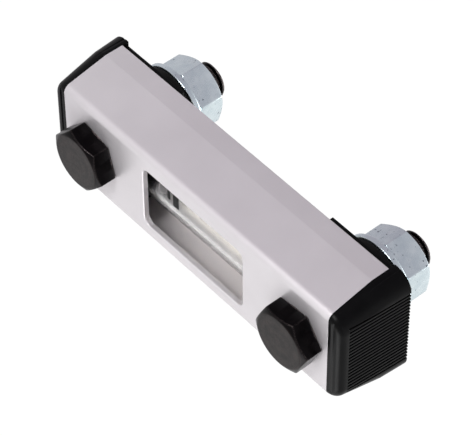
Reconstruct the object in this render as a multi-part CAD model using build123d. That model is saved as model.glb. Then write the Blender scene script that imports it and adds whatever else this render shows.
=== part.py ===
from build123d import *
import math
import os

# Tank level gauge. Millimetres. +Z runs along the gauge, the window faces -Y
# and +X is across. The origin is midway between the two bolts, on the face
# that the end blocks put against the tank wall.

# Cover: a channel closed at the front, open at the back and at both ends
bolt_spacing = 76.0
cover_past_bolt = 10.7
cover_stand_off = 2.0
cover_depth = 18.7
cover_back_width = 34.0
cover_side_taper = 2.6
cover_straight_side = 5.3
cover_corner_radius = 2.25
cover_wall = 1.5
cover_edge_break = 0.2

# Two ridges inside the cover's side walls keep the reflector off the back
ridge_height = 0.7
ridge_width = 0.9
ridge_inset = 0.3

# Window in the cover's front
window_width = 19.7
window_length = 37.0
window_corner_radius = 2.2

# End blocks: each is one moulding, a body in the channel and a ribbed end cap
body_inside_bolt = 10.7
body_clearance = 0.15
cap_front_thickness = 4.3
cap_back_thickness = 5.8
cap_side_radius = 5.0
collar_width = 0.9
collar_step_width = 0.9
collar_step_depth = 0.3
rib_count = 20
rib_side_margin = 5.5
rib_top_width = 0.5
rib_foot_width = 0.7
rib_depth = 0.5
rib_front_margin = 2.6

# Hollow bolts, with the fluid path from the tank to the sight tube
shank_radius = 4.8
shank_clearance = 0.2
thread_radius = 5.0
thread_core_radius = 4.51
bolt_bore_radius = 2.5
bolt_tail = 4.05
bolt_end_chamfer = 0.6
groove_radius = 3.6
groove_width = 5.0
cross_hole_radius = 1.9
bore_past_cross_hole = 1.0
head_across_flats = 16.0
head_height = 5.7
head_chamfer_radius = 7.6
head_face_radius = 7.7
head_face_height = 0.3
upper_head_angle = 35.4
lower_head_angle = 16.0

# Sight tube and the reflector behind it
tube_outer_radius = 7.0
tube_inner_radius = 5.5
tube_behind_front = 9.2
tube_clearance = 0.1
socket_depth = 3.9
tube_seal_thickness = 1.4
tube_seal_edge = 0.1
passage_radius = 2.0
reflector_wall = 0.8
reflector_clearance = 0.1
reflector_ridge_gap = 0.2
reflector_depth = 7.4

# Seals, washers and nuts
head_seal_width = 1.6
head_seal_clearance = 0.1
seal_recess_radius = 9.6
seal_recess_depth = 1.2
wall_seal_outer_radius = 9.4
wall_seal_inner_radius = 5.2
wall_seal_thickness = 2.0
gasket_outer_radius = 11.0  # the washer's too, so that it backs the whole gasket
gasket_inner_radius = 5.0
gasket_thickness = 3.65
gasket_edge_chamfer = 0.6
washer_inner_radius = 5.3
washer_thickness = 1.7
nut_across_flats = 17.0
nut_height = 8.4
nut_chamfer_radius = 8.1
nut_thread_clearance = 0.09
nut_countersink = 0.65
upper_nut_angle = 57.9
lower_nut_angle = 51.8

hex_chamfer_angle = 30.0

# Places that follow from the sizes above
cover_back = -cover_stand_off
cover_front = cover_back - cover_depth
cover_front_width = cover_back_width - 2 * cover_side_taper
bolt_z = bolt_spacing / 2
cover_end = bolt_z + cover_past_bolt
rib_pitch = (cover_back_width - 2 * rib_side_margin) / rib_count
body_start = bolt_z - body_inside_bolt
body_front = cover_front + cover_wall + body_clearance
tube_y = cover_front + tube_behind_front
socket_floor = body_start + socket_depth
tube_end = socket_floor - tube_seal_thickness
head_seal_inner_radius = shank_radius + head_seal_clearance
head_seal_outer_radius = head_seal_inner_radius + head_seal_width
cover_hole_radius = head_seal_outer_radius + head_seal_clearance
gasket_start = wall_seal_thickness - seal_recess_depth
washer_outer_radius = gasket_outer_radius
washer_start = gasket_start + gasket_thickness
nut_start = washer_start + washer_thickness
nut_end = nut_start + nut_height
bolt_end = nut_end + bolt_tail


def cover_points(back_y):
    """Return the cover's outer section, with its sides carried back to back_y."""
    half_back = cover_back_width / 2
    half_front = cover_front_width / 2
    knee = cover_back - cover_straight_side
    right = [(half_back, back_y), (half_back, knee), (half_front, cover_front)]
    left = [(-x, y) for x, y in reversed(right)]
    return right + left


def cover_section(back_y):
    """Return the cover's outer section as a face with rounded front corners."""
    face = make_face(Polyline(*cover_points(back_y), close=True))
    corners = face.vertices().group_by(Axis.Y)[0]
    return fillet(corners, cover_corner_radius)


def channel_section(gap):
    """Return the space inside the cover, smaller by a gap and run out past its back."""
    outer = cover_section(cover_depth)
    inner = offset(outer, amount=-(cover_wall + gap), kind=Kind.INTERSECTION)
    half = cover_back_width / 2 - cover_wall - ridge_height - gap
    height = ridge_width + 2 * gap
    y = cover_back - ridge_inset - ridge_width / 2
    for side in (-1, 1):
        inner -= Pos(side * (half + ridge_width), y) * Rectangle(2 * ridge_width, height)
    return inner


def depth_band(y_from, y_to):
    """Return a wide rectangle that keeps what lies between two depths."""
    middle = (y_from + y_to) / 2
    return Pos(0, middle) * Rectangle(2 * cover_back_width, y_to - y_from)


def facing_front(y, z):
    """Return a plane at depth y that faces the front, with its own y axis along +Z."""
    return Plane(origin=(0, y, z), x_dir=(1, 0, 0), z_dir=(0, -1, 0))


def rod(radius, y_from, y_to, z):
    """Return a round bar that runs from front to back at height z."""
    return extrude(facing_front(y_to, z) * Circle(radius), amount=y_to - y_from)


def ring(outer, inner, y_from, y_to, z):
    """Return a flat ring about a bolt's axis."""
    return rod(outer, y_from, y_to, z) - rod(inner, y_from - 1, y_to + 1, z)


def turned(points, z):
    """Return the solid made by turning (radius, y) points about a bolt's axis."""
    outline = make_face(Polyline(*points, close=True))
    return revolve(Pos(0, 0, z) * outline, Axis((0, 0, z), (0, 1, 0)))


def along_gauge(radius, z_from, z_to):
    """Return a round bar on the sight tube's axis."""
    return Pos(0, tube_y, z_from) * extrude(Circle(radius), amount=z_to - z_from)


def hexagon(across_flats, chamfer_radius, y_from, y_to, z, angle, both_ends):
    """Return a hexagonal prism whose corners are turned off at one or both ends."""
    corner = across_flats / 2 / math.cos(math.radians(30))
    flats = facing_front(y_to, z) * RegularPolygon(corner, 6, rotation=angle)
    prism = extrude(flats, amount=y_to - y_from)
    reach = corner + 0.5
    drop = (reach - chamfer_radius) * math.tan(math.radians(hex_chamfer_angle))
    outline = [(0, y_from), (chamfer_radius, y_from), (reach, y_from + drop)]
    if both_ends:
        outline += [(reach, y_to - drop), (chamfer_radius, y_to), (0, y_to)]
    else:
        outline += [(reach, y_to), (0, y_to)]
    return prism & turned(outline, z)


def make_cover():
    """Return the channel with its window and the two bolt holes."""
    section = cover_section(cover_back) - channel_section(0)
    cover = Pos(0, 0, -cover_end) * extrude(section, amount=2 * cover_end)
    window = RectangleRounded(window_width, window_length, window_corner_radius)
    depth = 2 * cover_wall
    cover -= extrude(facing_front(cover_front + depth, 0) * window, amount=2 * depth)
    for z in (-bolt_z, bolt_z):
        cover -= rod(cover_hole_radius, cover_front - 1, cover_front + depth, z)
    front = cover.faces().sort_by(Axis.Y)[0]
    window_wire = [w for w in front.inner_wires() if abs(w.center().Z) < bolt_z / 2][0]
    return chamfer(window_wire.edges(), cover_edge_break)


def cap_blank():
    """Return the plain end cap: the cover's outline carried on to a sloping end."""
    root = cover_end - cap_side_radius
    blank = make_face(Polyline(*cover_points(0), close=True))
    blank = Pos(0, 0, root) * extrude(blank, amount=4 * cap_side_radius)
    blank = split(blank, bisect_by=end_plane(), keep=Keep.BOTTOM)
    slope = blank.faces().sort_by(Axis.Z)[-1]
    sides = [e for e in slope.edges() if abs(e.center().X) > cover_front_width / 4]
    blank = fillet(sides, cap_side_radius)
    front = blank.faces().sort_by(Axis.Y)[0]
    rim = front.edges().sort_by(Axis.Z)[1:]
    blank = fillet(rim, cover_corner_radius)
    return split(blank, bisect_by=Plane.XY.offset(cover_end), keep=Keep.TOP)


def end_plane():
    """Return the plane of the cap's sloping end, with its own y axis to the back."""
    rise = cap_back_thickness - cap_front_thickness
    run = -cover_front
    return Plane(
        origin=(0, 0, cover_end + cap_back_thickness),
        x_dir=(1, 0, 0),
        z_dir=(0, -rise, run),
    )


def collar_step():
    """Return the cutter for the shallow sloping step round the cap's collar."""
    foot = cover_section(cover_depth)
    top = Pos(0, 0, collar_step_width) * offset(foot, amount=-collar_step_depth)
    core = loft([foot, top])
    slab = extrude(offset(foot, amount=2), amount=collar_step_width)
    return Pos(0, 0, cover_end + collar_width) * (slab - core)


def rib_grooves():
    """Return the row of grooves that leaves the ribs standing on the cap's end."""
    mouth = rib_pitch - rib_top_width
    floor = rib_pitch - rib_foot_width
    length = -cover_front - rib_front_margin
    profile = [
        (-mouth / 2, 0.2),
        (-mouth / 2, 0),
        (-floor / 2, -rib_depth),
        (floor / 2, -rib_depth),
        (mouth / 2, 0),
        (mouth / 2, 0.2),
    ]
    groove = make_face(Plane.XZ * Polyline(*profile, close=True))
    groove = extrude(groove, amount=length + 1, dir=(0, 1, 0))
    first = -rib_count * rib_pitch / 2
    row = [Pos(first + i * rib_pitch, -length, 0) * groove for i in range(rib_count + 1)]
    return [end_plane() * cutter for cutter in row]


def make_end_block():
    """Return the upper end block, with its bolt hole, tube socket and passage."""
    section = channel_section(body_clearance) & depth_band(cover_front, 0)
    body_end = cover_end + collar_width / 2
    body = Pos(0, 0, body_start) * extrude(section, amount=body_end - body_start)
    block = body + (cap_blank() - collar_step())
    block -= rib_grooves()
    block -= rod(shank_radius + shank_clearance, cover_front - 1, 1, bolt_z)
    block -= rod(seal_recess_radius, -seal_recess_depth, 1, bolt_z)
    block -= along_gauge(tube_outer_radius + tube_clearance, body_start - 1, socket_floor)
    block -= along_gauge(passage_radius, body_start, bolt_z)
    return block


def make_hollow_bolt(z, head_angle):
    """Return a bolt with a bore from its end to a groove with one cross hole."""
    groove_front = tube_y - groove_width / 2
    groove_back = tube_y + groove_width / 2
    head_back = cover_front - head_face_height
    outline = [
        (0, head_back - 1),
        (head_face_radius, head_back - 1),
        (head_face_radius, cover_front),
        (shank_radius, cover_front),
        (shank_radius, groove_front),
        (groove_radius, groove_front),
        (groove_radius, groove_back),
        (shank_radius, groove_back),
        (shank_radius, nut_start),
        (thread_core_radius, nut_start),
        (thread_core_radius, nut_end),
        (thread_radius, nut_end),
        (thread_radius, bolt_end - bolt_end_chamfer),
        (thread_radius - bolt_end_chamfer, bolt_end),
        (0, bolt_end),
    ]
    head_front = cover_front - head_height
    bolt = turned(outline, z)
    bolt += hexagon(
        head_across_flats, head_chamfer_radius, head_front, head_back, z, head_angle, False
    )
    bore_floor = tube_y - cross_hole_radius - bore_past_cross_hole
    bolt -= rod(bolt_bore_radius, bore_floor, bolt_end + 1, z)
    cross_hole = Cylinder(cross_hole_radius, 2 * shank_radius)
    return bolt - Pos(0, tube_y, z) * cross_hole


def make_sight_tube():
    """Return the clear tube between the two sockets."""
    tube = along_gauge(tube_outer_radius, -tube_end, tube_end)
    return tube - along_gauge(tube_inner_radius, -tube_end - 1, tube_end + 1)


def make_reflector():
    """Return the folded tray that lies behind the tube, between the end blocks."""
    back = cover_back - ridge_inset - ridge_width - reflector_ridge_gap
    front = back - reflector_depth
    outside = channel_section(reflector_clearance) & depth_band(front, back)
    inside = channel_section(reflector_clearance + reflector_wall)
    inside &= depth_band(cover_front, back - reflector_wall)
    half = body_start - reflector_clearance
    return Pos(0, 0, -half) * extrude(outside - inside, amount=2 * half)


def make_head_seal(z):
    """Return the ring between the bolt's head and the block, in the cover's hole."""
    outer = head_seal_outer_radius
    return ring(outer, head_seal_inner_radius, cover_front, body_front, z)


def make_tube_seal():
    """Return the upper ring between the tube's end and its socket's floor."""
    outer = tube_outer_radius - tube_seal_edge
    inner = tube_inner_radius + tube_seal_edge
    seal = along_gauge(outer, tube_end, socket_floor)
    return seal - along_gauge(inner, tube_end - 1, socket_floor + 1)


def make_wall_seal(z):
    """Return the ring that stands out of the block's recess to meet the tank wall."""
    start = -seal_recess_depth
    end = start + wall_seal_thickness
    return ring(wall_seal_outer_radius, wall_seal_inner_radius, start, end, z)


def make_gasket(z):
    """Return the thick rubber ring that goes behind the tank wall."""
    gasket = ring(gasket_outer_radius, gasket_inner_radius, gasket_start, washer_start, z)
    rims = [
        e
        for e in gasket.edges().filter_by(GeomType.CIRCLE)
        if e.radius > gasket_outer_radius - 0.1
    ]
    return chamfer(rims, gasket_edge_chamfer)


def make_washer(z):
    """Return the flat washer."""
    return ring(washer_outer_radius, washer_inner_radius, washer_start, nut_start, z)


def make_nut(z, angle):
    """Return the hexagonal nut, chamfered on both faces and countersunk on its outer one."""
    nut = hexagon(
        nut_across_flats, nut_chamfer_radius, nut_start, nut_end, z, angle, True
    )
    bore = thread_core_radius + nut_thread_clearance
    mouth = bore + nut_countersink
    outline = [
        (0, nut_start),
        (bore, nut_start),
        (bore, nut_end - nut_countersink),
        (mouth, nut_end),
        (0, nut_end),
    ]
    return nut - turned(outline, z)


def make_pieces():
    """Return every piece of the gauge by name."""
    pieces = {
        "cover": make_cover(),
        "sight_tube": make_sight_tube(),
        "reflector": make_reflector(),
    }
    block = make_end_block()
    tube_seal = make_tube_seal()
    pieces["upper_end_block"] = block
    pieces["lower_end_block"] = mirror(block, about=Plane.XY)
    pieces["upper_tube_seal"] = tube_seal
    pieces["lower_tube_seal"] = mirror(tube_seal, about=Plane.XY)
    ends = (
        ("upper", bolt_z, upper_head_angle, upper_nut_angle),
        ("lower", -bolt_z, lower_head_angle, lower_nut_angle),
    )
    for end, z, head_angle, nut_angle in ends:
        pieces[end + "_hollow_bolt"] = make_hollow_bolt(z, head_angle)
        pieces[end + "_head_seal"] = make_head_seal(z)
        pieces[end + "_wall_seal"] = make_wall_seal(z)
        pieces[end + "_gasket"] = make_gasket(z)
        pieces[end + "_washer"] = make_washer(z)
        pieces[end + "_nut"] = make_nut(z, nut_angle)
    return pieces


os.makedirs("parts", exist_ok=True)
for name, piece in make_pieces().items():
    solid = piece.solids()[0] if len(piece.solids()) == 1 else piece
    export_step(solid, os.path.join("parts", name + ".step"))
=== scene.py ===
import logging
import math
from dataclasses import dataclass
from enum import Enum
from typing import Sequence

import bmesh
import bpy
import numpy as np
from mathutils import Matrix, Vector


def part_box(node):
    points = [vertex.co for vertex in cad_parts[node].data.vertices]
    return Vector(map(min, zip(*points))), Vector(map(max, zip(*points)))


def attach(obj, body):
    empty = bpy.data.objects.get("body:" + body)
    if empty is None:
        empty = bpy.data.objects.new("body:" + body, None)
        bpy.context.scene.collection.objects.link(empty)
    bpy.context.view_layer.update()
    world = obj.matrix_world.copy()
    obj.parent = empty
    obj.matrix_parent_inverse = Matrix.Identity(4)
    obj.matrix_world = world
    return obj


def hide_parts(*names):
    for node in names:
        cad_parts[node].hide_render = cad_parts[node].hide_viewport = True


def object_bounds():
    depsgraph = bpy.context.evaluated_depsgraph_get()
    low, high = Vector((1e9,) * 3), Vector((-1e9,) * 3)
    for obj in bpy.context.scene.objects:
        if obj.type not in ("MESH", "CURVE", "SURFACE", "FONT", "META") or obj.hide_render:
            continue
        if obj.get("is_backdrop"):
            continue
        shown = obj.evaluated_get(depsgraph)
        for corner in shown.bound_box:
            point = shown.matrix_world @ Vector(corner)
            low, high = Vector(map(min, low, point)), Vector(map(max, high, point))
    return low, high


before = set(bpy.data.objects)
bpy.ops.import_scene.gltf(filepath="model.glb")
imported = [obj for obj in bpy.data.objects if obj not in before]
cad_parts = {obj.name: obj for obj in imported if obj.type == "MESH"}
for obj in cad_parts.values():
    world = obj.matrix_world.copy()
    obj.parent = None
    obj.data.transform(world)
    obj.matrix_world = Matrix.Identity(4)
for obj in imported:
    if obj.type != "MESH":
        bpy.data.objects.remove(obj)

log = logging.getLogger("level_gauge")

Tree = bpy.types.NodeTree
Socket = bpy.types.NodeSocket
Point = tuple[float, float, float]
Ring = tuple[np.ndarray, np.ndarray]  # radius and depth at each angle round an axis

MM = 0.001
WHITE = "#FFFFFF"

# Folds steeper than this, in degrees, stay sharp on a made mesh
SHARP_FOLD = 38.0

# A Mix node's colour sockets share their names with others, so they go by number
SHARE, FIRST, SECOND, MIXED = 0, 6, 7, 2

# Nearly all of a noise lies in this range, so it is spread over the whole effect
NOISE_RANGE = {"From Min": 0.3, "From Max": 0.7}
NOISE_ROUGHNESS = 0.55

# How nearly a softened edge still faces as its flat does: the less, the more worn
WORN_RANGE = {"From Min": 0.86, "From Max": 0.995, "To Min": 1.0, "To Max": 0.0}
BEVEL_SAMPLES = 6


def linear(colour: str) -> tuple[float, float, float, float]:
    """Turns an sRGB hex colour into the linear values that a shader takes.

    Args:
        colour: Six hex digits after a hash sign.

    Returns:
        Linear red, green and blue with an alpha of one.
    """
    parts = [int(colour[i : i + 2], 16) / 255 for i in (1, 3, 5)]
    turned = [p / 12.92 if p <= 0.04045 else ((p + 0.055) / 1.055) ** 2.4 for p in parts]
    return (*turned, 1.0)


def add_node(
    tree: Tree,
    kind: str,
    settings: dict[str | int, object] | None = None,
    links: dict[str | int, Socket] | None = None,
) -> bpy.types.Node:
    """Adds one shader node with its settings and links.

    Args:
        tree: The node tree that gets the node.
        kind: The node's type name, without its ShaderNode prefix.
        settings: Properties and unlinked sockets, by name or number.
        links: Sockets of other nodes by the input that they feed.

    Returns:
        The new node.
    """
    node = tree.nodes.new("ShaderNode" + kind)
    for name, value in (settings or {}).items():
        if isinstance(name, str) and hasattr(node, name):
            setattr(node, name, value)
        else:
            node.inputs[name].default_value = value
    for name, source in (links or {}).items():
        tree.links.new(source, node.inputs[name])
    return node


def box_mm(node: str) -> tuple[Vector, Vector]:
    """Gives the two corners of a CAD node's box in millimetres."""
    low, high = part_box(node)
    return low / MM, high / MM


class End(Enum):
    """The two ends of the gauge, as its nodes are named."""

    UPPER = "upper"
    LOWER = "lower"


class Stretch(Enum):
    """Which way a pattern is drawn out, as scales along X, Y and Z."""

    EVEN = (1.0, 1.0, 1.0)
    ALONG_GAUGE = (1.0, 1.0, 0.02)


@dataclass(frozen=True)
class Pattern:
    """An irregular pattern on a surface, with cells of a real size.

    detail is how many finer layers lie in it, and stretch is its direction.
    """

    size_mm: float
    detail: float = 2.0
    stretch: Stretch = Stretch.EVEN

    def lay(self, tree: Tree) -> Socket:
        """Lays the pattern over a piece.

        Args:
            tree: The node tree of the piece's material.

        Returns:
            The pattern's value, mostly from 0.3 to 0.7.
        """
        place = add_node(tree, "TexCoord")
        drawn = add_node(
            tree,
            "Mapping",
            {"Scale": self.stretch.value},
            {"Vector": place.outputs["Object"]},
        )
        cells = add_node(
            tree,
            "TexNoise",
            {
                "Scale": 1.0 / (self.size_mm * MM),
                "Detail": self.detail,
                "Roughness": NOISE_ROUGHNESS,
            },
            {"Vector": drawn.outputs["Vector"]},
        )
        return cells.outputs["Fac"]


@dataclass(frozen=True)
class Finish:
    """What every finish shares: its name and the slot it stands for."""

    name: str = "finish"
    slot: str = "slot"

    def material(self) -> bpy.types.Material:
        """Makes the material the first time and returns the same one later.

        Returns:
            The material with the finish's own surface.
        """
        made = bpy.data.materials.get(self.name)
        if made is None:
            made = bpy.data.materials.new(self.name)
            made.use_nodes = True
            made.node_tree.nodes.clear()
            surface = self.surface(made.node_tree)
            add_node(made.node_tree, "OutputMaterial", links={"Surface": surface})
        return made

    def surface(self, tree: Tree) -> Socket:
        """Builds the finish's nodes and returns the shader that ends them."""
        raise NotImplementedError

    def worn_edges(self, tree: Tree, radius_mm: float) -> Socket:
        """Finds the sharp edges that handling rubs.

        Args:
            tree: The material's node tree.
            radius_mm: How far from an edge the wear reaches.

        Returns:
            1 along the edges, and 0 on open faces.
        """
        rounded = add_node(
            tree, "Bevel", {"samples": BEVEL_SAMPLES, "Radius": radius_mm * MM}
        )
        plain = add_node(tree, "NewGeometry")
        alike = add_node(
            tree,
            "VectorMath",
            {"operation": "DOT_PRODUCT"},
            {0: rounded.outputs["Normal"], 1: plain.outputs["Normal"]},
        )
        worn = add_node(tree, "MapRange", WORN_RANGE, {"Value": alike.outputs["Value"]})
        return worn.outputs["Result"]


@dataclass(frozen=True)
class AnodisedAluminium(Finish):
    """Extruded 6063 aluminium, etched matt and clear anodised.

    The etch spreads every reflection into a soft pale sheen, the anodic film
    cools it slightly towards lilac, and the die leaves faint lines that run the
    length of the section.
    """

    name: str = "clear_anodised_extrusion"
    slot: str = "anodised_aluminium"
    body: str = "#D7D3D6"
    shade: str = "#D2CED1"
    rubbed: str = "#E0DDDF"
    # the film is clear oxide over the metal, and shines partly as glass does
    metallic: float = 0.6
    roughness: tuple[float, float] = (0.38, 0.44)
    clouds: Pattern = Pattern(14.0)
    die_lines: Pattern = Pattern(0.5, 1.0, Stretch.ALONG_GAUGE)
    die_line_depth_mm: float = 0.002
    # the etch's grain is about 0.02 mm; it is drawn coarser so that it shows
    grain: Pattern = Pattern(0.35, 3.0)
    grain_depth_mm: float = 0.003
    edge_mm: float = 0.12
    rubbed_mm: float = 0.15

    def surface(self, tree: Tree) -> Socket:
        """Builds satin metal with die lines, an etched grain and rubbed edges.

        Args:
            tree: The material's node tree.

        Returns:
            The shader.
        """
        shaded = add_node(
            tree, "MapRange", NOISE_RANGE, {"Value": self.clouds.lay(tree)}
        )
        film = add_node(
            tree,
            "Mix",
            {"data_type": "RGBA", FIRST: linear(self.body), SECOND: linear(self.shade)},
            {SHARE: shaded.outputs["Result"]},
        )
        colour = add_node(
            tree,
            "Mix",
            {"data_type": "RGBA", SECOND: linear(self.rubbed)},
            {SHARE: self.worn_edges(tree, self.rubbed_mm), FIRST: film.outputs[MIXED]},
        )
        edges = add_node(
            tree, "Bevel", {"samples": BEVEL_SAMPLES, "Radius": self.edge_mm * MM}
        )
        lined = add_node(
            tree,
            "Bump",
            {"Distance": self.die_line_depth_mm * MM},
            {"Height": self.die_lines.lay(tree), "Normal": edges.outputs["Normal"]},
        )
        grain = self.grain.lay(tree)
        etched = add_node(
            tree,
            "Bump",
            {"Distance": self.grain_depth_mm * MM},
            {"Height": grain, "Normal": lined.outputs["Normal"]},
        )
        rough = add_node(
            tree,
            "MapRange",
            {**NOISE_RANGE, "To Min": self.roughness[0], "To Max": self.roughness[1]},
            {"Value": grain},
        )
        shader = add_node(
            tree,
            "BsdfPrincipled",
            {"Metallic": self.metallic},
            {
                "Base Color": colour.outputs[MIXED],
                "Roughness": rough.outputs["Result"],
                "Normal": etched.outputs["Normal"],
            },
        )
        return shader.outputs["BSDF"]


@dataclass(frozen=True)
class GlassFilledNylon(Finish):
    """Black glass-filled nylon, moulded in a spark-eroded tool.

    The eroded tool leaves a fine even grain whose pits swallow most of the
    surface's shine, so the black is deep with a weak grey sheen, a little greyer
    where the edges and ribs have been rubbed.
    """

    name: str = "black_glass_filled_nylon"
    slot: str = "black_moulding"
    body: str = "#060607"
    dusty: str = "#0A0A0B"
    rubbed: str = "#161617"
    ior: float = 1.53
    specular: float = 0.06
    roughness: tuple[float, float] = (0.30, 0.38)
    clouds: Pattern = Pattern(5.0)
    # the eroded grain is about 0.05 mm; it is drawn coarser so that it shows
    grain: Pattern = Pattern(0.22)
    grain_depth_mm: float = 0.012
    edge_mm: float = 0.15
    rubbed_mm: float = 0.18

    def surface(self, tree: Tree) -> Socket:
        """Builds a semi-matt black with a moulded grain and rubbed edges.

        Args:
            tree: The material's node tree.

        Returns:
            The shader.
        """
        clouds = self.clouds.lay(tree)
        dust = add_node(tree, "MapRange", NOISE_RANGE, {"Value": clouds})
        skin = add_node(
            tree,
            "Mix",
            {"data_type": "RGBA", FIRST: linear(self.body), SECOND: linear(self.dusty)},
            {SHARE: dust.outputs["Result"]},
        )
        colour = add_node(
            tree,
            "Mix",
            {"data_type": "RGBA", SECOND: linear(self.rubbed)},
            {SHARE: self.worn_edges(tree, self.rubbed_mm), FIRST: skin.outputs[MIXED]},
        )
        edges = add_node(
            tree, "Bevel", {"samples": BEVEL_SAMPLES, "Radius": self.edge_mm * MM}
        )
        grained = add_node(
            tree,
            "Bump",
            {"Distance": self.grain_depth_mm * MM},
            {"Height": self.grain.lay(tree), "Normal": edges.outputs["Normal"]},
        )
        rough = add_node(
            tree,
            "MapRange",
            {**NOISE_RANGE, "To Min": self.roughness[0], "To Max": self.roughness[1]},
            {"Value": clouds},
        )
        shader = add_node(
            tree,
            "BsdfPrincipled",
            {"IOR": self.ior, "Specular IOR Level": self.specular},
            {
                "Base Color": colour.outputs[MIXED],
                "Roughness": rough.outputs["Result"],
                "Normal": grained.outputs["Normal"],
            },
        )
        return shader.outputs["BSDF"]


@dataclass(frozen=True)
class BlackOxideSteel(Finish):
    """Cold-headed carbon steel, blackened in a hot oxide bath and oiled.

    The oxide is thin, so the steel shines through it in a brown-black sheen. The
    flats keep their oil and stay nearly black, the pressed face is drier and
    browner with faint rings, and the corners are rubbed grey.
    """

    name: str = "black_oxide_steel"
    slot: str = "black_steel"
    face: str = "#2D2524"
    face_dark: str = "#0D0A0A"
    flank: str = "#171516"
    oily: str = "#0B0A0B"
    bare: str = "#9A908E"
    metallic: float = 1.0
    roughness: tuple[float, float] = (0.3, 0.42)
    oil: Pattern = Pattern(4.0, 3.0)
    # forging scale is about 0.1 mm; it is drawn coarser so that it shows
    scale: Pattern = Pattern(0.5, 3.0)
    scale_depth_mm: float = 0.006
    broken: Pattern = Pattern(3.0, 4.0)
    # the die's rings are about 0.2 mm apart; they are drawn wider so that they show
    ring_mm: float = 2.83
    ring_waver: float = 3.0
    ring_detail: float = 3.0
    ring_detail_scale: float = 2.0
    ring_share: float = 0.35
    axis_height_mm: float = 38.0
    # how squarely a surface looks forward to count as a head's face, from full to none
    face_slant: tuple[float, float] = (-0.97, -0.9)
    edge_mm: float = 0.15
    rubbed_mm: float = 0.5
    rubbed_least: float = 0.2

    def surface(self, tree: Tree) -> Socket:
        """Builds a dark cloudy metal with a ringed face and rubbed corners.

        Args:
            tree: The material's node tree.

        Returns:
            The shader.
        """
        scale = self.scale.lay(tree)
        oiled = add_node(tree, "MapRange", NOISE_RANGE, {"Value": self.oil.lay(tree)})
        flank = add_node(
            tree,
            "Mix",
            {"data_type": "RGBA", FIRST: linear(self.flank), SECOND: linear(self.oily)},
            {SHARE: oiled.outputs["Result"]},
        )
        face = add_node(
            tree,
            "Mix",
            {
                "data_type": "RGBA",
                FIRST: linear(self.face),
                SECOND: linear(self.face_dark),
            },
            {SHARE: self.turning_marks(tree)},
        )
        black = add_node(
            tree,
            "Mix",
            {"data_type": "RGBA"},
            {
                SHARE: self.facing_front(tree),
                FIRST: flank.outputs[MIXED],
                SECOND: face.outputs[MIXED],
            },
        )
        patchy = add_node(
            tree,
            "MapRange",
            {**NOISE_RANGE, "To Min": self.rubbed_least, "To Max": 1.0},
            {"Value": scale},
        )
        rubbed = add_node(
            tree,
            "Math",
            {"operation": "MULTIPLY"},
            {0: self.worn_edges(tree, self.rubbed_mm), 1: patchy.outputs["Result"]},
        )
        colour = add_node(
            tree,
            "Mix",
            {"data_type": "RGBA", SECOND: linear(self.bare)},
            {SHARE: rubbed.outputs["Value"], FIRST: black.outputs[MIXED]},
        )
        edges = add_node(
            tree, "Bevel", {"samples": BEVEL_SAMPLES, "Radius": self.edge_mm * MM}
        )
        scaled = add_node(
            tree,
            "Bump",
            {"Distance": self.scale_depth_mm * MM},
            {"Height": scale, "Normal": edges.outputs["Normal"]},
        )
        rough = add_node(
            tree,
            "MapRange",
            {**NOISE_RANGE, "To Min": self.roughness[0], "To Max": self.roughness[1]},
            {"Value": scale},
        )
        shader = add_node(
            tree,
            "BsdfPrincipled",
            {"Metallic": self.metallic},
            {
                "Base Color": colour.outputs[MIXED],
                "Roughness": rough.outputs["Result"],
                "Normal": scaled.outputs["Normal"],
            },
        )
        return shader.outputs["BSDF"]

    def facing_front(self, tree: Tree) -> Socket:
        """Tells the pressed faces of the heads from their flats.

        Args:
            tree: The material's node tree.

        Returns:
            1 on faces square to the gauge's front, and 0 on its sides.
        """
        place = add_node(tree, "TexCoord")
        parts = add_node(tree, "SeparateXYZ", links={0: place.outputs["Normal"]})
        full, none = self.face_slant
        square = add_node(
            tree,
            "MapRange",
            {"From Min": full, "From Max": none, "To Min": 1.0, "To Max": 0.0},
            {"Value": parts.outputs["Y"]},
        )
        return square.outputs["Result"]

    def turning_marks(self, tree: Tree) -> Socket:
        """Draws faint broken rings round each bolt's axis, as a die's face leaves.

        Args:
            tree: The material's node tree.

        Returns:
            The rings' share of the darker tone, from 0 to 1.
        """
        place = add_node(tree, "TexCoord")
        folded = add_node(
            tree, "VectorMath", {"operation": "ABSOLUTE"}, {0: place.outputs["Object"]}
        )
        centred = add_node(
            tree,
            "Mapping",
            {"Location": (0.0, 0.0, -self.axis_height_mm * MM)},
            {"Vector": folded.outputs["Vector"]},
        )
        # at a scale of 1 this texture's rings are pi / 10 metres apart
        rings = add_node(
            tree,
            "TexWave",
            {
                "wave_type": "RINGS",
                "rings_direction": "Y",
                "Scale": math.pi / 10 / (self.ring_mm * MM),
                "Distortion": self.ring_waver,
                "Detail": self.ring_detail,
                "Detail Scale": self.ring_detail_scale,
            },
            {"Vector": centred.outputs["Vector"]},
        )
        patches = add_node(
            tree,
            "MapRange",
            {**NOISE_RANGE, "To Max": 1.0 - self.ring_share},
            {"Value": self.broken.lay(tree)},
        )
        both = add_node(
            tree,
            "Math",
            {"operation": "MULTIPLY_ADD", 1: self.ring_share},
            {0: rings.outputs["Fac"], 2: patches.outputs["Result"]},
        )
        return both.outputs["Value"]


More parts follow.
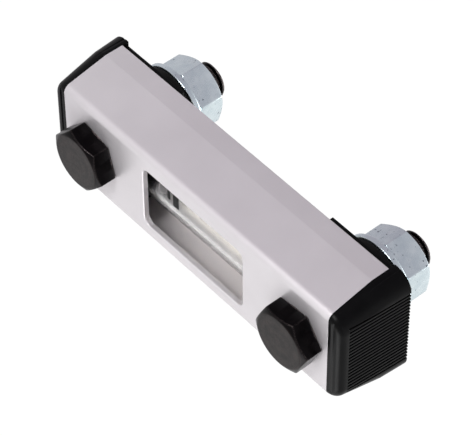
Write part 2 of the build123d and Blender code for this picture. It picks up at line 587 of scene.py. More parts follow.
@dataclass(frozen=True)
class BrightZincPlate(Finish):
    """Steel with bright zinc plating and a clear blue passivation.

    The plating is a cool mirror that the barrel has softened with tiny dents,
    clouded in patches, with a few dark specks where it was knocked.
    """

    name: str = "blue_white_zinc_plate"
    slot: str = "zinc_plate"
    body: str = "#C3D1D7"
    cloudy: str = "#D6E1E4"
    speck: str = "#59616D"
    rubbed: str = "#F3F6F9"
    metallic: float = 1.0
    roughness: tuple[float, float] = (0.2, 0.34)
    clouds: Pattern = Pattern(3.0, 4.0)
    dents: Pattern = Pattern(1.6)
    dent_depth_mm: float = 0.006
    # the plating's crystals are far below 0.1 mm; they are drawn coarser to show
    crystals: Pattern = Pattern(0.3, 3.0)
    crystal_depth_mm: float = 0.002
    specks: Pattern = Pattern(0.6, 0.0)
    speck_share: float = 0.85
    speck_edge: float = 0.04
    knocks: Pattern = Pattern(7.0, 1.0)
    knock_range: tuple[float, float] = (0.45, 0.65)
    # what a speck has to rise above where nothing was knocked, and where all was
    speck_bar: tuple[float, float] = (0.82, 0.68)
    edge_mm: float = 0.3
    rubbed_mm: float = 0.4

    def surface(self, tree: Tree) -> Socket:
        """Builds a cool bright metal with patches, dents and specks.

        Args:
            tree: The material's node tree.

        Returns:
            The shader.
        """
        clouds = self.clouds.lay(tree)
        cloudy = add_node(tree, "MapRange", NOISE_RANGE, {"Value": clouds})
        plate = add_node(
            tree,
            "Mix",
            {"data_type": "RGBA", FIRST: linear(self.body), SECOND: linear(self.cloudy)},
            {SHARE: cloudy.outputs["Result"]},
        )
        specked = add_node(
            tree,
            "Mix",
            {"data_type": "RGBA", SECOND: linear(self.speck)},
            {SHARE: self.knocked(tree), FIRST: plate.outputs[MIXED]},
        )
        colour = add_node(
            tree,
            "Mix",
            {"data_type": "RGBA", SECOND: linear(self.rubbed)},
            {
                SHARE: self.worn_edges(tree, self.rubbed_mm),
                FIRST: specked.outputs[MIXED],
            },
        )
        edges = add_node(
            tree, "Bevel", {"samples": BEVEL_SAMPLES, "Radius": self.edge_mm * MM}
        )
        dented = add_node(
            tree,
            "Bump",
            {"Distance": self.dent_depth_mm * MM},
            {"Height": self.dents.lay(tree), "Normal": edges.outputs["Normal"]},
        )
        fine = add_node(
            tree,
            "Bump",
            {"Distance": self.crystal_depth_mm * MM},
            {"Height": self.crystals.lay(tree), "Normal": dented.outputs["Normal"]},
        )
        rough = add_node(
            tree,
            "MapRange",
            {**NOISE_RANGE, "To Min": self.roughness[0], "To Max": self.roughness[1]},
            {"Value": clouds},
        )
        shader = add_node(
            tree,
            "BsdfPrincipled",
            {"Metallic": self.metallic},
            {
                "Base Color": colour.outputs[MIXED],
                "Roughness": rough.outputs["Result"],
                "Normal": fine.outputs["Normal"],
            },
        )
        return shader.outputs["BSDF"]

    def knocked(self, tree: Tree) -> Socket:
        """Gathers the dark specks in the patches that were knocked.

        Args:
            tree: The material's node tree.

        Returns:
            The specks' share of the dark tone.
        """
        (fewest, most), (high, low) = self.knock_range, self.speck_bar
        bar = add_node(
            tree,
            "MapRange",
            {"From Min": fewest, "From Max": most, "To Min": high, "To Max": low},
            {"Value": self.knocks.lay(tree)},
        )
        proud = add_node(
            tree,
            "Math",
            {"operation": "SUBTRACT"},
            {0: self.specks.lay(tree), 1: bar.outputs["Result"]},
        )
        dotted = add_node(
            tree,
            "MapRange",
            {"From Max": self.speck_edge, "To Max": self.speck_share},
            {"Value": proud.outputs["Value"]},
        )
        return dotted.outputs["Result"]


@dataclass(frozen=True)
class NitrileRubber(Finish):
    """Moulded nitrile rubber, dull black with a dusty bloom."""

    name: str = "nitrile_rubber"
    slot: str = "black_rubber"
    body: str = "#080808"
    bloomed: str = "#141313"
    ior: float = 1.52
    specular: float = 0.12
    roughness: tuple[float, float] = (0.5, 0.7)
    bloom: Pattern = Pattern(2.5, 4.0)
    skin: Pattern = Pattern(0.3)
    skin_depth_mm: float = 0.01
    edge_mm: float = 0.2

    def surface(self, tree: Tree) -> Socket:
        """Builds a dull black with a fine skin and a grey bloom.

        Args:
            tree: The material's node tree.

        Returns:
            The shader.
        """
        bloom = self.bloom.lay(tree)
        grey = add_node(tree, "MapRange", NOISE_RANGE, {"Value": bloom})
        colour = add_node(
            tree,
            "Mix",
            {"data_type": "RGBA", FIRST: linear(self.body), SECOND: linear(self.bloomed)},
            {SHARE: grey.outputs["Result"]},
        )
        edges = add_node(
            tree, "Bevel", {"samples": BEVEL_SAMPLES, "Radius": self.edge_mm * MM}
        )
        skinned = add_node(
            tree,
            "Bump",
            {"Distance": self.skin_depth_mm * MM},
            {"Height": self.skin.lay(tree), "Normal": edges.outputs["Normal"]},
        )
        rough = add_node(
            tree,
            "MapRange",
            {**NOISE_RANGE, "To Min": self.roughness[0], "To Max": self.roughness[1]},
            {"Value": bloom},
        )
        shader = add_node(
            tree,
            "BsdfPrincipled",
            {"IOR": self.ior, "Specular IOR Level": self.specular},
            {
                "Base Color": colour.outputs[MIXED],
                "Roughness": rough.outputs["Result"],
                "Normal": skinned.outputs["Normal"],
            },
        )
        return shader.outputs["BSDF"]


@dataclass(frozen=True)
class ClearAcrylic(Finish):
    """Extruded acrylic tube, clear with the slight haze of a drawn surface.

    It bends what lies behind it, and its haze runs the white behind it into one
    soft pale band beside the grey lines of its walls. Shadows pass through it, as
    the light in a real tube does.
    """

    name: str = "clear_acrylic_tube"
    slot: str = "clear_tube"
    body: str = WHITE
    ior: float = 1.49
    roughness: tuple[float, float] = (0.13, 0.21)
    draw_marks: Pattern = Pattern(0.8, 1.0, Stretch.ALONG_GAUGE)
    draw_mark_depth_mm: float = 0.0002

    def surface(self, tree: Tree) -> Socket:
        """Builds clear acrylic with faint draw marks along its length.

        Args:
            tree: The material's node tree.

        Returns:
            The shader.
        """
        marks = self.draw_marks.lay(tree)
        haze = add_node(
            tree,
            "MapRange",
            {**NOISE_RANGE, "To Min": self.roughness[0], "To Max": self.roughness[1]},
            {"Value": marks},
        )
        drawn = add_node(
            tree,
            "Bump",
            {"Distance": self.draw_mark_depth_mm * MM},
            {"Height": marks},
        )
        glass = add_node(
            tree,
            "BsdfPrincipled",
            {
                "Base Color": linear(self.body),
                "IOR": self.ior,
                "Transmission Weight": 1.0,
            },
            {"Roughness": haze.outputs["Result"], "Normal": drawn.outputs["Normal"]},
        )
        clear = add_node(tree, "BsdfTransparent", {"Color": linear(self.body)})
        light = add_node(tree, "LightPath")
        both = add_node(
            tree,
            "MixShader",
            links={
                0: light.outputs["Is Shadow Ray"],
                1: glass.outputs["BSDF"],
                2: clear.outputs["BSDF"],
            },
        )
        return both.outputs["Shader"]


@dataclass(frozen=True)
class WhiteLacquer(Finish):
    """White stove lacquer on folded sheet, smooth with a soft gloss."""

    name: str = "white_lacquered_sheet"
    slot: str = "white_reflector"
    body: str = "#F2EFEA"
    aged: str = "#ECE8E1"
    ior: float = 1.5
    roughness: tuple[float, float] = (0.3, 0.42)
    clouds: Pattern = Pattern(9.0)
    peel: Pattern = Pattern(0.7, 1.0)
    peel_depth_mm: float = 0.01

    def surface(self, tree: Tree) -> Socket:
        """Builds a soft white with a faint orange peel.

        Args:
            tree: The material's node tree.

        Returns:
            The shader.
        """
        age = add_node(tree, "MapRange", NOISE_RANGE, {"Value": self.clouds.lay(tree)})
        colour = add_node(
            tree,
            "Mix",
            {"data_type": "RGBA", FIRST: linear(self.body), SECOND: linear(self.aged)},
            {SHARE: age.outputs["Result"]},
        )
        peel = self.peel.lay(tree)
        dimpled = add_node(
            tree, "Bump", {"Distance": self.peel_depth_mm * MM}, {"Height": peel}
        )
        rough = add_node(
            tree,
            "MapRange",
            {**NOISE_RANGE, "To Min": self.roughness[0], "To Max": self.roughness[1]},
            {"Value": peel},
        )
        shader = add_node(
            tree,
            "BsdfPrincipled",
            {"IOR": self.ior},
            {
                "Base Color": colour.outputs[MIXED],
                "Roughness": rough.outputs["Result"],
                "Normal": dimpled.outputs["Normal"],
            },
        )
        return shader.outputs["BSDF"]


ALUMINIUM = AnodisedAluminium()
NYLON = GlassFilledNylon()
BLACK_STEEL = BlackOxideSteel()
ZINC = BrightZincPlate()
RUBBER = NitrileRubber()
ACRYLIC = ClearAcrylic()
LACQUER = WhiteLacquer()


def dress(node: str, finish: Finish) -> None:
    """Gives a CAD node its finish and reports it.

    Args:
        node: The node's name.
        finish: The finish it wears.
    """
    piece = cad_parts[node]
    piece.data.materials.clear()
    piece.data.materials.append(finish.material())
    log.info("%s: %s", node, finish.name)


def add_piece(
    name: str, mesh: bpy.types.Mesh, finish: Finish, stands_for: Sequence[str] = ()
) -> bpy.types.Object:
    """Adds a made mesh to the scene as a piece of the gauge.

    Args:
        name: The piece's name.
        mesh: Its mesh, in metres in the gauge's frame.
        finish: The finish it wears.
        stands_for: CAD nodes that it is shown in place of.

    Returns:
        The new object, riding on the gauge.
    """
    piece = bpy.data.objects.new(name, mesh)
    bpy.context.scene.collection.objects.link(piece)
    mesh.materials.append(finish.material())
    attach(piece, "root")
    if stands_for:
        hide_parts(*stands_for)
    log.info("%s: %s, %d faces", name, finish.name, len(mesh.polygons))
    return piece


def skin_of_rows(
    name: str, rows: Sequence[Sequence[Point]], joined: bool
) -> bpy.types.Mesh:
    """Builds a closed skin over closed rows of points.

    Args:
        name: The mesh's name.
        rows: Points in millimetres, row after row, with as many in each.
        joined: True if the last row meets the first, False if both are capped.

    Returns:
        The mesh, smooth but for its sharp edges.
    """
    made = bmesh.new()
    grid = [[made.verts.new([c * MM for c in point]) for point in row] for row in rows]
    pairs = list(zip(grid, grid[1:])) + ([(grid[-1], grid[0])] if joined else [])
    for near, far in pairs:
        for i in range(len(near)):
            made.faces.new((near[i - 1], near[i], far[i], far[i - 1]))
    if not joined:
        for row in (grid[0], grid[-1]):
            hub = made.verts.new(sum((v.co for v in row), Vector()) / len(row))
            for i in range(len(row)):
                made.faces.new((row[i - 1], row[i], hub))
    bmesh.ops.recalc_face_normals(made, faces=made.faces)
    mesh = bpy.data.meshes.new(name)
    made.to_mesh(mesh)
    made.free()
    mesh.polygons.foreach_set("use_smooth", [True] * len(mesh.polygons))
    mesh.set_sharp_from_angle(angle=math.radians(SHARP_FOLD))
    return mesh


def skin_about_bolt(
    name: str, angles: np.ndarray, rings: Sequence[Ring], centre_z: float, joined: bool
) -> bpy.types.Mesh:
    """Builds a closed skin from rings laid about a bolt's axis.

    Args:
        name: The mesh's name.
        angles: Angles round the axis from +X to +Z, in radians.
        rings: Radius and depth at each angle, ring after ring, in millimetres.
        centre_z: Height of the axis, in millimetres.
        joined: True if the last ring meets the first, False if both are capped.

    Returns:
        The mesh, smooth but for its sharp edges.
    """
    rows = [
        list(zip(radii * np.cos(angles), depths, centre_z + radii * np.sin(angles)))
        for radii, depths in rings
    ]
    return skin_of_rows(name, rows, joined)


def round_rings(
    angles: np.ndarray, profile: Sequence[tuple[float, float]]
) -> list[Ring]:
    """Turns a profile into round rings.

    Args:
        angles: Angles round the axis, in radians.
        profile: Radius and depth of each ring, in millimetres.

    Returns:
        One ring for each point of the profile.
    """
    even = np.ones_like(angles)
    return [(even * radius, even * depth) for radius, depth in profile]


@dataclass
class Hexagon:
    """A hexagon's outline about a bolt's axis, with slightly rounded corners.

    Sizes are in millimetres and angles in degrees. corner_angle is where one
    corner points, from +X towards +Z, and corner_steps are the angles of the
    points from a corner to just before the middle of its flat. The turned
    corners meet the face and the flats in small rounds, whose rings lie at the
    given shares of edge_radius.
    """

    across_flats: float
    chamfer_radius: float
    corner_angle: float
    chamfer_angle: float = 30.0
    corner_sharpness: float = 90.0
    corner_steps: tuple[float, ...] = (0, 0.5, 1.1, 1.9, 3, 5, 8, 12, 17, 23)
    chamfer_steps: tuple[float, ...] = (0.25, 0.6, 1.0)
    edge_radius: float = 0.14
    face_round: float = 0.15
    flat_round_in: float = 0.3
    flat_round_start: float = 0.25
    flat_round_end: float = 1.1

    def angles(self) -> np.ndarray:
        """Spaces the points round the hexagon, crowded together at the corners.

        Returns:
            The angles in radians.
        """
        side = np.array(self.corner_steps)
        sector = np.concatenate([side, [30], 60 - side[:0:-1]])
        around = [self.corner_angle + 60 * k + sector for k in range(6)]
        return np.radians(np.concatenate(around))

    def radii(self, angles: np.ndarray) -> np.ndarray:
        """Measures the outline from the axis.

        Args:
            angles: Angles round the axis, in radians.

        Returns:
            The outline's radius at each angle.
        """
        flats = np.radians(self.corner_angle + 30 + 60 * np.arange(6))
        toward = np.clip(np.cos(angles[:, None] - flats[None, :]), 0, None)
        reach = (toward / (self.across_flats / 2)) ** self.corner_sharpness
        return reach.sum(axis=1) ** (-1 / self.corner_sharpness)

    def end_rings(self, angles: np.ndarray, face_y: float, inward: float) -> list[Ring]:
        """Lays the rings from the flat face out over the turned corners.

        Args:
            angles: Angles round the axis, in radians.
            face_y: Depth of the flat face.
            inward: 1 if the prism lies at greater depth than its face, else -1.

        Returns:
            The rings from the face's rim to the top of the flats.
        """
        slope = math.tan(math.radians(self.chamfer_angle))
        outline, edge = self.radii(angles), self.edge_radius
        rim = self.chamfer_radius
        face_round = face_y + inward * edge * self.face_round
        rings = round_rings(angles, [(rim - edge, face_y), (rim, face_round)])
        for share in self.chamfer_steps:
            radius = rim + edge + share * (outline - rim - 2 * edge)
            rings.append((radius, face_y + inward * (radius - rim) * slope))
        drop = (outline - rim) * slope
        start = drop + edge * self.flat_round_start
        rings.append((outline - edge * self.flat_round_in, face_y + inward * start))
        rings.append((outline, face_y + inward * (drop + edge * self.flat_round_end)))
        return rings


@dataclass
class Thread:
    """A coarse metric thread cut on the free end of a bolt, in millimetres.

    half_crest and flank are shares of the pitch: half the crest's width, and the
    width of the slope from the crest to the root.
    """

    radius: float = 5.0
    pitch: float = 1.5
    depth: float = 0.92
    step: float = 0.075
    half_crest: float = 0.07
    flank: float = 0.30

    def rings(
        self, angles: np.ndarray, start: float, end: float, end_chamfer: float
    ) -> list[Ring]:
        """Lays the rings of the thread from start to end.

        Args:
            angles: Angles round the axis, in radians.
            start: Depth where the thread begins.
            end: Depth of the bolt's end.
            end_chamfer: Size of the chamfer on the bolt's end.

        Returns:
            One ring for each step along the bolt.
        """
        made = []
        for y in np.linspace(start, end, int((end - start) / self.step) + 1):
            turn = (y / self.pitch - angles / (2 * math.pi)) % 1.0
            off_crest = np.abs(turn - 0.5)
            root = np.clip((off_crest - self.half_crest) / self.flank, 0, 1)
            radius = self.radius - self.depth * root
            limit = self.radius - end_chamfer + (end - y)
            made.append((np.minimum(radius, limit), np.full_like(angles, y)))
        return made


@dataclass
class HollowBolt:
    """One black hollow bolt: hexagonal head, shank and threaded free end.

    Sizes are in millimetres. face_steps are the radii of the rings on the head's
    face, core_start and core_stop are how far inside the nut's faces the shank
    is at its core radius, and thread_start is how far inside the nut the thread
    that shows behind it begins.
    """

    end: End
    corner_angle: float
    across_flats: float = 16.0
    chamfer_radius: float = 7.6
    face_steps: tuple[float, ...] = (1.0, 3.0, 5.5, 7.0)
    head_round_in: float = 0.12
    head_round_depth: float = 0.15
    face_radius: float = 7.7
    face_height: float = 0.3
    shank_radius: float = 4.8
    core_radius: float = 4.05
    core_start: float = 0.4
    core_stop: float = 1.5
    thread_start: float = 1.2
    bore_radius: float = 2.5
    bore_depth: float = 33.0
    bore_chamfer: float = 0.3
    end_flat: float = 0.6
    end_chamfer: float = 0.6

    def build(self) -> bpy.types.Object:
        """Makes the bolt from its head to its threaded end and its bore.

        Returns:
            The piece that is shown in place of the CAD bolt.
        """
        node = f"{self.end.value}_hollow_bolt"
        low, high = box_mm(node)
        nut_low, nut_high = box_mm(f"{self.end.value}_nut")
        cover_low, _ = box_mm("cover")
        head_back = cover_low.y - self.face_height
        hexagon = Hexagon(self.across_flats, self.chamfer_radius, self.corner_angle)
        angles = hexagon.angles()
        outline = hexagon.radii(angles)
        back = np.full_like(angles, head_back)
        rings = round_rings(angles, [(r, low.y) for r in self.face_steps])
        rings += hexagon.end_rings(angles, low.y, 1)
        rings.append((outline, back - self.head_round_depth))
        rings.append((outline - self.head_round_in, back))
        shank = [
            (self.face_radius, head_back),
            (self.face_radius, cover_low.y),
            (self.shank_radius, cover_low.y),
            (self.shank_radius, nut_low.y),
            (self.core_radius, nut_low.y + self.core_start),
            (self.core_radius, nut_high.y - self.core_stop),
        ]
        rings += round_rings(angles, shank)
        start = nut_high.y - self.thread_start
        rings += Thread().rings(angles, start, high.y, self.end_chamfer)
        mouth = self.bore_radius + self.bore_chamfer
        bore = [
            (mouth + self.end_flat, high.y),
            (mouth, high.y),
            (self.bore_radius, high.y - self.bore_chamfer),
            (self.bore_radius, high.y - self.bore_depth),
        ]
        rings += round_rings(angles, bore)
        centre_z = (nut_low.z + nut_high.z) / 2
        mesh = skin_about_bolt(node + "_shown", angles, rings, centre_z, False)
        return add_piece(node + "_shown", mesh, BLACK_STEEL, [node])


@dataclass
class Nut:
    """One zinc-plated hexagonal nut, chamfered and countersunk on both faces.

    Sizes are in millimetres. mouth_flat and mouth_round are the flat ring round
    the countersink on the outer face, and the small step down into it.
    """

    end: End
    corner_angle: float
    across_flats: float = 17.0
    chamfer_radius: float = 8.1
    bore_radius: float = 4.6
    countersink: float = 0.65
    mouth_flat: float = 0.1
    mouth_round: float = 0.05

    def build(self) -> bpy.types.Object:
        """Makes the nut as one closed skin that runs back through its bore.

        Returns:
            The piece that is shown in place of the CAD nut.
        """
        node = f"{self.end.value}_nut"
        low, high = box_mm(node)
        hexagon = Hexagon(self.across_flats, self.chamfer_radius, self.corner_angle)
        angles = hexagon.angles()
        mouth = self.bore_radius + self.countersink
        rings = round_rings(angles, [(mouth, low.y)])
        rings += hexagon.end_rings(angles, low.y, 1)
        rings += hexagon.end_rings(angles, high.y, -1)[::-1]
        bore = [
            (mouth + self.mouth_flat, high.y),
            (mouth, high.y - self.mouth_round),
            (self.bore_radius, high.y - self.countersink),
            (self.bore_radius, low.y + self.countersink),
        ]
        rings += round_rings(angles, bore)
        centre_z = (low.z + high.z) / 2
        mesh = skin_about_bolt(node + "_shown", angles, rings, centre_z, True)
        return add_piece(node + "_shown", mesh, ZINC, [node])


@dataclass
class Washer:
    """One zinc-plated flat washer, rounded by the punch on its outer edges.

    Sizes are in millimetres, and the steps round its axis are in degrees.
    """

    end: End
    front_round: float = 0.35
    back_round: float = 0.5
    inner_radius: float = 5.3
    turn_step: float = 3.0
    round_points: int = 5

    def build(self) -> bpy.types.Object:
        """Makes the washer with its rim rounded towards both faces.

        Returns:
            The piece that is shown in place of the CAD washer.
        """
        node = f"{self.end.value}_washer"
        low, high = box_mm(node)
        outer = (high.x - low.x) / 2
        front, back = self.front_round, self.back_round
        turns = np.linspace(0, math.pi / 2, self.round_points)
        profile = [(self.inner_radius, low.y)]
        for turn in turns:
            radius = outer - front * (1 - math.sin(turn))
            profile.append((radius, low.y + front * (1 - math.cos(turn))))
        for turn in turns:
            radius = outer - back * (1 - math.cos(turn))
            profile.append((radius, high.y - back * (1 - math.sin(turn))))
        profile.append((self.inner_radius, high.y))
        angles = np.radians(np.arange(0, 360, self.turn_step))
        rings = round_rings(angles, profile)
        centre_z = (low.z + high.z) / 2
        mesh = skin_about_bolt(node + "_shown", angles, rings, centre_z, True)
        return add_piece(node + "_shown", mesh, ZINC, [node])


@dataclass
class Fixing:
    """Everything on one bolt's axis: the bolt, its nut, its washer and the seals.

    The corners are the angles, in degrees, to which the two hexagons are turned.
    """

    end: End
    head_corner: float
    nut_corner: float
    seals: tuple[str, ...] = ("gasket", "wall_seal", "head_seal", "tube_seal")

    def build(self) -> None:
        """Builds the bolt, the nut and the washer and dresses the seals."""
        HollowBolt(self.end, self.head_corner).build()
        Nut(self.end, self.nut_corner).build()
        Washer(self.end).build()
        for seal in self.seals:
            dress(f"{self.end.value}_{seal}", RUBBER)


@dataclass
class Casing:
    """The aluminium cover and the two black end blocks that close it.

    The CAD model has their full form, so they are only dressed here.
    """

    ends: tuple[End, ...] = (End.UPPER, End.LOWER)

    def build(self) -> None:
        """Dresses the cover and both end blocks."""
        dress("cover", ALUMINIUM)
        for end in self.ends:
            dress(f"{end.value}_end_block", NYLON)


@dataclass
class LevelTab:
    """A thin black tab that reaches in from the window's edge at a level.

    Sizes are in millimetres: where it starts and ends up the gauge, how far it
    reaches from the window's side edge, and where it sits behind the cover's face.
    """

    name: str
    bottom: float
    top: float
    reach: float
    root_x: float = -9.86
    behind_face: float = 1.45
    thickness: float = 0.15
    edge: float = 0.04
    tip_corner: float = 0.35
    corner_points: int = 4

    def build(self) -> bpy.types.Object:
        """Makes the tab with a rounded tip and softened edges.

        Returns:
            The new piece.
        """
        low, _ = box_mm("cover")
        front = low.y + self.behind_face
        back = front + self.thickness
        steps = [(self.edge, front), (0.0, front + self.edge)]
        steps += [(0.0, back - self.edge), (self.edge, back)]
        rows = [[(x, y, z) for x, z in self.outline(inset)] for inset, y in steps]
        return add_piece(self.name, skin_of_rows(self.name, rows, False), NYLON)

    def outline(self, inset: float) -> list[tuple[float, float]]:
        """Draws the tab's outline, drawn in by a distance.

        Args:
            inset: How far the outline is drawn in, in millimetres.

        Returns:
            Points across and up the gauge, in order round the tab.
        """
        tip, corner = self.root_x + self.reach - inset, self.tip_corner
        low, high = self.bottom + inset, self.top - inset
        turns = np.linspace(0, math.pi / 2, self.corner_points)
        made = [(self.root_x, low)]
        for turn in turns:
            x = tip - corner * (1 - math.sin(turn))
            made.append((x, low + corner * (1 - math.cos(turn))))
        for turn in turns:
            x = tip - corner * (1 - math.cos(turn))
            made.append((x, high - corner * (1 - math.sin(turn))))
        return made + [(self.root_x, high)]


@dataclass
class SightGlass:
    """The clear tube, the reflector behind it, its lined sleeve and the level tabs.

    The sleeve's ends and the radii of both rings are in millimetres, and the
    steps round them are in degrees.
    """

    sleeve: tuple[float, float] = (-29.6, -17.4)
    sleeve_radii: tuple[float, float] = (4.7, 5.3)
    lining_radii: tuple[float, float] = (4.5, 4.7)
    edge: float = 0.06
    turn_step: float = 5.0
    tabs: tuple[LevelTab, ...] = (
        LevelTab("low_level_tab", -10.95, -9.85, 5.6),
        LevelTab("level_tab", -8.8, -6.7, 6.6),
    )

    def build(self) -> None:
        """Dresses the tube and the reflector and adds the small parts in the window."""
        dress("sight_tube", ACRYLIC)
        dress("reflector", LACQUER)
        self.add_ring("tube_sleeve", self.sleeve_radii, NYLON)
        self.add_ring("sleeve_lining", self.lining_radii, ALUMINIUM)
        for tab in self.tabs:
            tab.build()

    def add_ring(
        self, name: str, radii: tuple[float, float], finish: Finish
    ) -> bpy.types.Object:
        """Makes a ring as long as the sleeve round the tube's axis.

        Args:
            name: The piece's name.
            radii: Its inner and outer radius.
            finish: The finish it wears.

        Returns:
            The new piece.
        """
        (inner, outer), (start, end), edge = radii, self.sleeve, self.edge
        profile = [(inner, start), (outer - edge, start), (outer, start + edge)]
        profile += [(outer, end - edge), (outer - edge, end), (inner, end)]
        low, high = box_mm("sight_tube")
        middle = (low + high) / 2
        turn = np.radians(np.arange(0, 360, self.turn_step))
        rows = [
            [(middle.x + r * math.cos(a), middle.y + r * math.sin(a), z) for a in turn]
            for r, z in profile
        ]
        return add_piece(name, skin_of_rows(name, rows, True), finish)


@dataclass
class Lamp:
    """A soft box, hung in a direction from the gauge and turned to face it.

    Its size and distance are in metres, and its power is in watts.
    """

    name: str
    toward: Point
    size: float
    power: float
    distance: float = 0.8

    def hang(self) -> None:
        """Hangs the soft box and turns it to the gauge."""
        data = bpy.data.lights.new(self.name, "AREA")
        data.shape = "SQUARE"
        data.size = self.size
        data.energy = self.power
        toward = Vector(self.toward).normalized()
        box = bpy.data.objects.new(self.name, data)
        bpy.context.scene.collection.objects.link(box)
        place = toward * self.distance
        turn = (-toward).to_track_quat("-Z", "Y").to_matrix().to_4x4()
        box.matrix_world = Matrix.Translation(place) @ turn
        log.info("lamp %s at %s", self.name, [round(c, 2) for c in place])


@dataclass
class Camera:
    """The main view's camera, set by its angles round the point it looks at.

    Angles are in degrees, the lens and the sensor in millimetres, and the rest in
    metres.
    """

    azimuth: float = 300.263
    elevation: float = 30.48
    roll: float = 130.70
    distance: float = 0.66186
    aim: Point = (0.00351, -0.00613, -0.0001)
    focal_length: float = 204.79
    sensor_width: float = 36.0
    near: float = 0.01
    far: float = 20.0

    def place(self) -> None:
        """Places the camera by its angles round the aim and rolls it."""
        data = bpy.data.cameras.new("main_view")
        data.lens = self.focal_length
        data.sensor_width = self.sensor_width
        data.clip_start, data.clip_end = self.near, self.far
        camera = bpy.data.objects.new("main_view", data)
        bpy.context.scene.collection.objects.link(camera)
        bpy.context.scene.camera = camera
        a, e = math.radians(self.azimuth), math.radians(self.elevation)
        back = Vector(
            (math.sin(a) * math.cos(e), -math.cos(a) * math.cos(e), math.sin(e))
        )
        turn = (-back).to_track_quat("-Z", "Y").to_matrix()
        turn = turn @ Matrix.Rotation(math.radians(self.roll), 3, "Z")
        place = Vector(self.aim) + back * self.distance
        camera.matrix_world = Matrix.Translation(place) @ turn.to_4x4()
        log.info("camera at %s", [round(c, 3) for c in place])


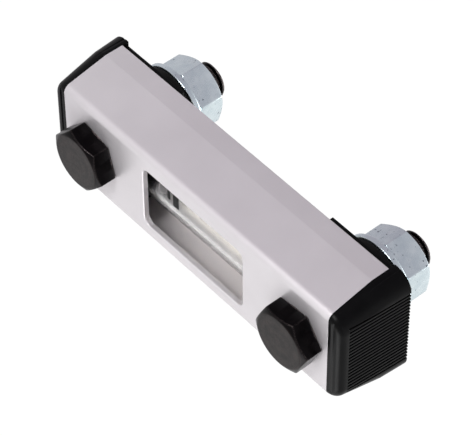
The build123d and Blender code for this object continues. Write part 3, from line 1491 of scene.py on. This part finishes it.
@dataclass
class Surround:
    """The pale floor and sky round the gauge, dim on one side and white on the other. On
    the floor the dim side is painted shade, as of the gauge's own shadow, laid in the
    floor's glow.

    Sky and floor are brightest towards +X. full_strength is what the camera,
    mirrors and clear pieces see of them, diffuse_share is what plain surfaces
    get, and camera_share is how much of the floor's look is its own glow.
    sky_grade and floor_grade are where the change of tone ends on both sides, in
    the sky's own measure and in metres. floor_turn is in degrees.
    """

    bright_side: str = WHITE
    dim_sky: str = "#C5C0C7"
    # painted shade: the floor's glow on its dim side, as of the gauge's shadow
    floor_painted_shade: str = "#B9B1BA"
    floor_colour: str = "#F4F4F4"
    full_strength: float = 1.04
    diffuse_share: float = 0.35
    camera_share: float = 0.96
    sky_grade: float = 0.8
    floor_grade: float = 0.06
    floor_turn: float = 38.7
    floor_size: float = 6.0
    floor_cells: int = 8
    floor_gap: float = 0.0005

    def light_world(self) -> None:
        """Gives a pale surround that is brighter on one side of the gauge."""
        world = bpy.data.worlds.new("surround")
        bpy.context.scene.world = world
        world.use_nodes = True
        tree = world.node_tree
        tree.nodes.clear()
        place = add_node(tree, "TexCoord")
        parts = add_node(tree, "SeparateXYZ", links={0: place.outputs["Generated"]})
        grade = self.graded(tree, parts.outputs["X"], self.sky_grade, self.dim_sky)
        sky = add_node(tree, "Background", links=grade)
        add_node(tree, "OutputWorld", links={"Surface": sky.outputs["Background"]})
        log.info("surround: graded sky")

    def lay_floor(self) -> None:
        """Lays a pale floor that keeps a soft shadow under the gauge and glows with
        painted light and shade.
        """
        low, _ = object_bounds()
        cells, half = self.floor_cells, self.floor_size / 2
        made = bmesh.new()
        bmesh.ops.create_grid(made, x_segments=cells, y_segments=cells, size=half)
        mesh = bpy.data.meshes.new("floor")
        made.to_mesh(mesh)
        made.free()
        floor = bpy.data.objects.new("floor", mesh)
        floor.location.z = low.z - self.floor_gap
        bpy.context.scene.collection.objects.link(floor)
        mesh.materials.append(self.white_paper_painted_glow())
        floor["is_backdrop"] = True
        log.info("floor: white paper")

    def white_paper_painted_glow(self) -> bpy.types.Material:
        """Makes paper that the camera sees close to full white. Mirrors and clear pieces
        see its glow, which is painted light and shade: white towards +X and the front, and
        dimmer as painted shade towards -X and behind the gauge.

        Returns:
            The floor's material.
        """
        material = bpy.data.materials.new("white_paper_painted_glow")
        material.use_nodes = True
        tree = material.node_tree
        tree.nodes.clear()
        place = add_node(tree, "TexCoord")
        turned = add_node(
            tree,
            "Mapping",
            {"Rotation": (0.0, 0.0, math.radians(self.floor_turn))},
            {"Vector": place.outputs["Object"]},
        )
        parts = add_node(tree, "SeparateXYZ", links={0: turned.outputs["Vector"]})
        paper = add_node(tree, "BsdfDiffuse", {"Color": linear(self.floor_colour)})
        # painted shade: the floor's glow dims towards -X and behind the gauge, where its
        # shadow falls
        grade = self.graded(tree, parts.outputs["X"], self.floor_grade, self.floor_painted_shade)
        glow = add_node(tree, "Emission", links=grade)
        share = add_node(
            tree,
            "MapRange",
            {"To Max": self.camera_share},
            {"Value": self.straight_on(tree)},
        )
        both = add_node(
            tree,
            "MixShader",
            links={
                0: share.outputs["Result"],
                1: paper.outputs["BSDF"],
                2: glow.outputs["Emission"],
            },
        )
        add_node(tree, "OutputMaterial", links={"Surface": both.outputs["Shader"]})
        return material

    def graded(
        self, tree: Tree, across: Socket, half_width: float, dim_side: str
    ) -> dict[str | int, Socket]:
        """Grades light from the dim side to the bright side, white where it is seen.

        Args:
            tree: The node tree of the world or the floor.
            across: Place on the line from the dim side to the bright side.
            half_width: Where the grade ends on both sides.
            dim_side: Its tone on the dim side, as a hex colour.

        Returns:
            The light's colour and strength. The camera sees plain white, mirrors
            and clear pieces see the grade, and plain surfaces get a share of it.
        """
        place = add_node(
            tree,
            "MapRange",
            {"From Min": -half_width, "From Max": half_width},
            {"Value": across},
        )
        grade = add_node(
            tree,
            "Mix",
            {
                "data_type": "RGBA",
                FIRST: linear(dim_side),
                SECOND: linear(self.bright_side),
            },
            {SHARE: place.outputs["Result"]},
        )
        light = add_node(tree, "LightPath")
        seen = add_node(
            tree,
            "Mix",
            {"data_type": "RGBA", SECOND: linear(WHITE)},
            {SHARE: light.outputs["Is Camera Ray"], FIRST: grade.outputs[MIXED]},
        )
        strength = add_node(
            tree,
            "MapRange",
            {"To Min": self.diffuse_share, "To Max": self.full_strength},
            {"Value": self.straight_on(tree)},
        )
        return {"Color": seen.outputs[MIXED], "Strength": strength.outputs["Result"]}

    def straight_on(self, tree: Tree) -> Socket:
        """Tells the rays that show the surround from those that only light with it.

        Args:
            tree: The node tree of the world or the floor.

        Returns:
            1 to the camera, mirrors and clear pieces, and 0 to plain surfaces.
        """
        light = add_node(tree, "LightPath")
        mirrored = add_node(
            tree,
            "Math",
            {"operation": "MAXIMUM"},
            {0: light.outputs["Is Camera Ray"], 1: light.outputs["Is Glossy Ray"]},
        )
        shown = add_node(
            tree,
            "Math",
            {"operation": "MAXIMUM"},
            {0: mirrored.outputs["Value"], 1: light.outputs["Is Transmission Ray"]},
        )
        return shown.outputs["Value"]


@dataclass
class Studio:
    """Where the gauge is shown: the camera, the soft boxes and the surround."""

    camera: Camera
    surround: Surround
    lamps: tuple[Lamp, ...] = (
        Lamp("beside_camera", (-0.74, -0.62, 0.05), 0.28, 5.2),
        Lamp("key", (0.65, -0.75, 0.12), 0.45, 2.6),
        Lamp("overhead", (0.1, -0.1, 1.0), 0.6, 0.8),
        Lamp("back_fill", (0.35, 0.85, 0.35), 0.5, 3.5),
    )

    def build(self) -> None:
        """Sets the camera, then the lamps, the world and the floor."""
        bpy.context.scene.view_settings.view_transform = "Standard"
        self.camera.place()
        for lamp in self.lamps:
            lamp.hang()
        self.surround.light_world()
        self.surround.lay_floor()


def main() -> None:
    """Builds the gauge and its studio."""
    logging.basicConfig(level=logging.INFO, format="%(name)s %(message)s")
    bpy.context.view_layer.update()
    Casing().build()
    SightGlass().build()
    Fixing(End.UPPER, 35.4, 57.9).build()
    Fixing(End.LOWER, 16.0, 51.8).build()
    Studio(Camera(), Surround()).build()


if __name__ == "__main__":
    main()
